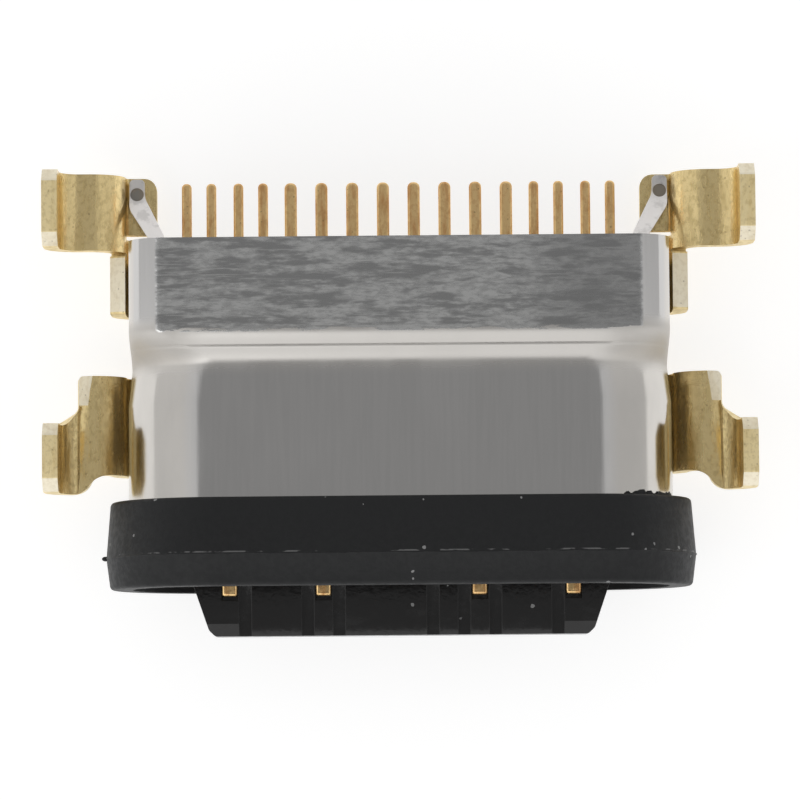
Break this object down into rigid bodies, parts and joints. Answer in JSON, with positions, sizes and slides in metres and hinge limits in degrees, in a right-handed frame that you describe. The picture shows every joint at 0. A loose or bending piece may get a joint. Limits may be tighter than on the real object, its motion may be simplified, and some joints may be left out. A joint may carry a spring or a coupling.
{
  "type": "usb-c socket",
  "caption": "Sealed mid-mount USB-C receptacle with a drawn steel shell, rubber sealing ring, moulded tongue, solder tails and a gold-plated saddle with board legs.",
  "frame": {"origin": "on the plug axis, in the plane of the shell's mouth, midway through the tongue's thickness", "axes": "+X across the opening to the right seen from the board side with the tails up, +Y from the mouth to the solder tails, +Z out of the side that the circuit board lies against"},
  "size_m": [0.0114, 0.0076, 0.0036],
  "materials": {
    "shell_steel": "drawn stainless steel, satin, with faint rolling marks",
    "plate_steel": "stamped stainless steel, satin",
    "gold_bracket": "gold plate over satin nickel on a folded sheet",
    "gold_contact": "gold plate on copper alloy strip",
    "seal_rubber": "moulded silicone rubber, matte, with a parting line",
    "tongue_plastic": "glass-filled moulding, semi-gloss black",
    "carrier_plastic": "moulded black plastic",
    "sealant_resin": "cured black potting resin, softly glossy"
  },
  "bodies": {
    "root": {"shell": "shell_steel", "mounting_bracket": "gold_bracket", "seal_ring": "seal_rubber", "tongue_overmould": "tongue_plastic", "upper_carrier": "carrier_plastic", "lower_carrier": "carrier_plastic", "mid_plate": "plate_steel", "rear_sealant": "sealant_resin", "contact_a01": "gold_contact", "contact_a04": "gold_contact", "contact_a05": "gold_contact", "contact_a06": "gold_contact", "contact_a07": "gold_contact", "contact_a08": "gold_contact", "contact_a09": "gold_contact", "contact_a12": "gold_contact", "contact_b01": "gold_contact", "contact_b04": "gold_contact", "contact_b05": "gold_contact", "contact_b06": "gold_contact", "contact_b07": "gold_contact", "contact_b08": "gold_contact", "contact_b09": "gold_contact", "contact_b12": "gold_contact"}
  },
  "joints": []
}
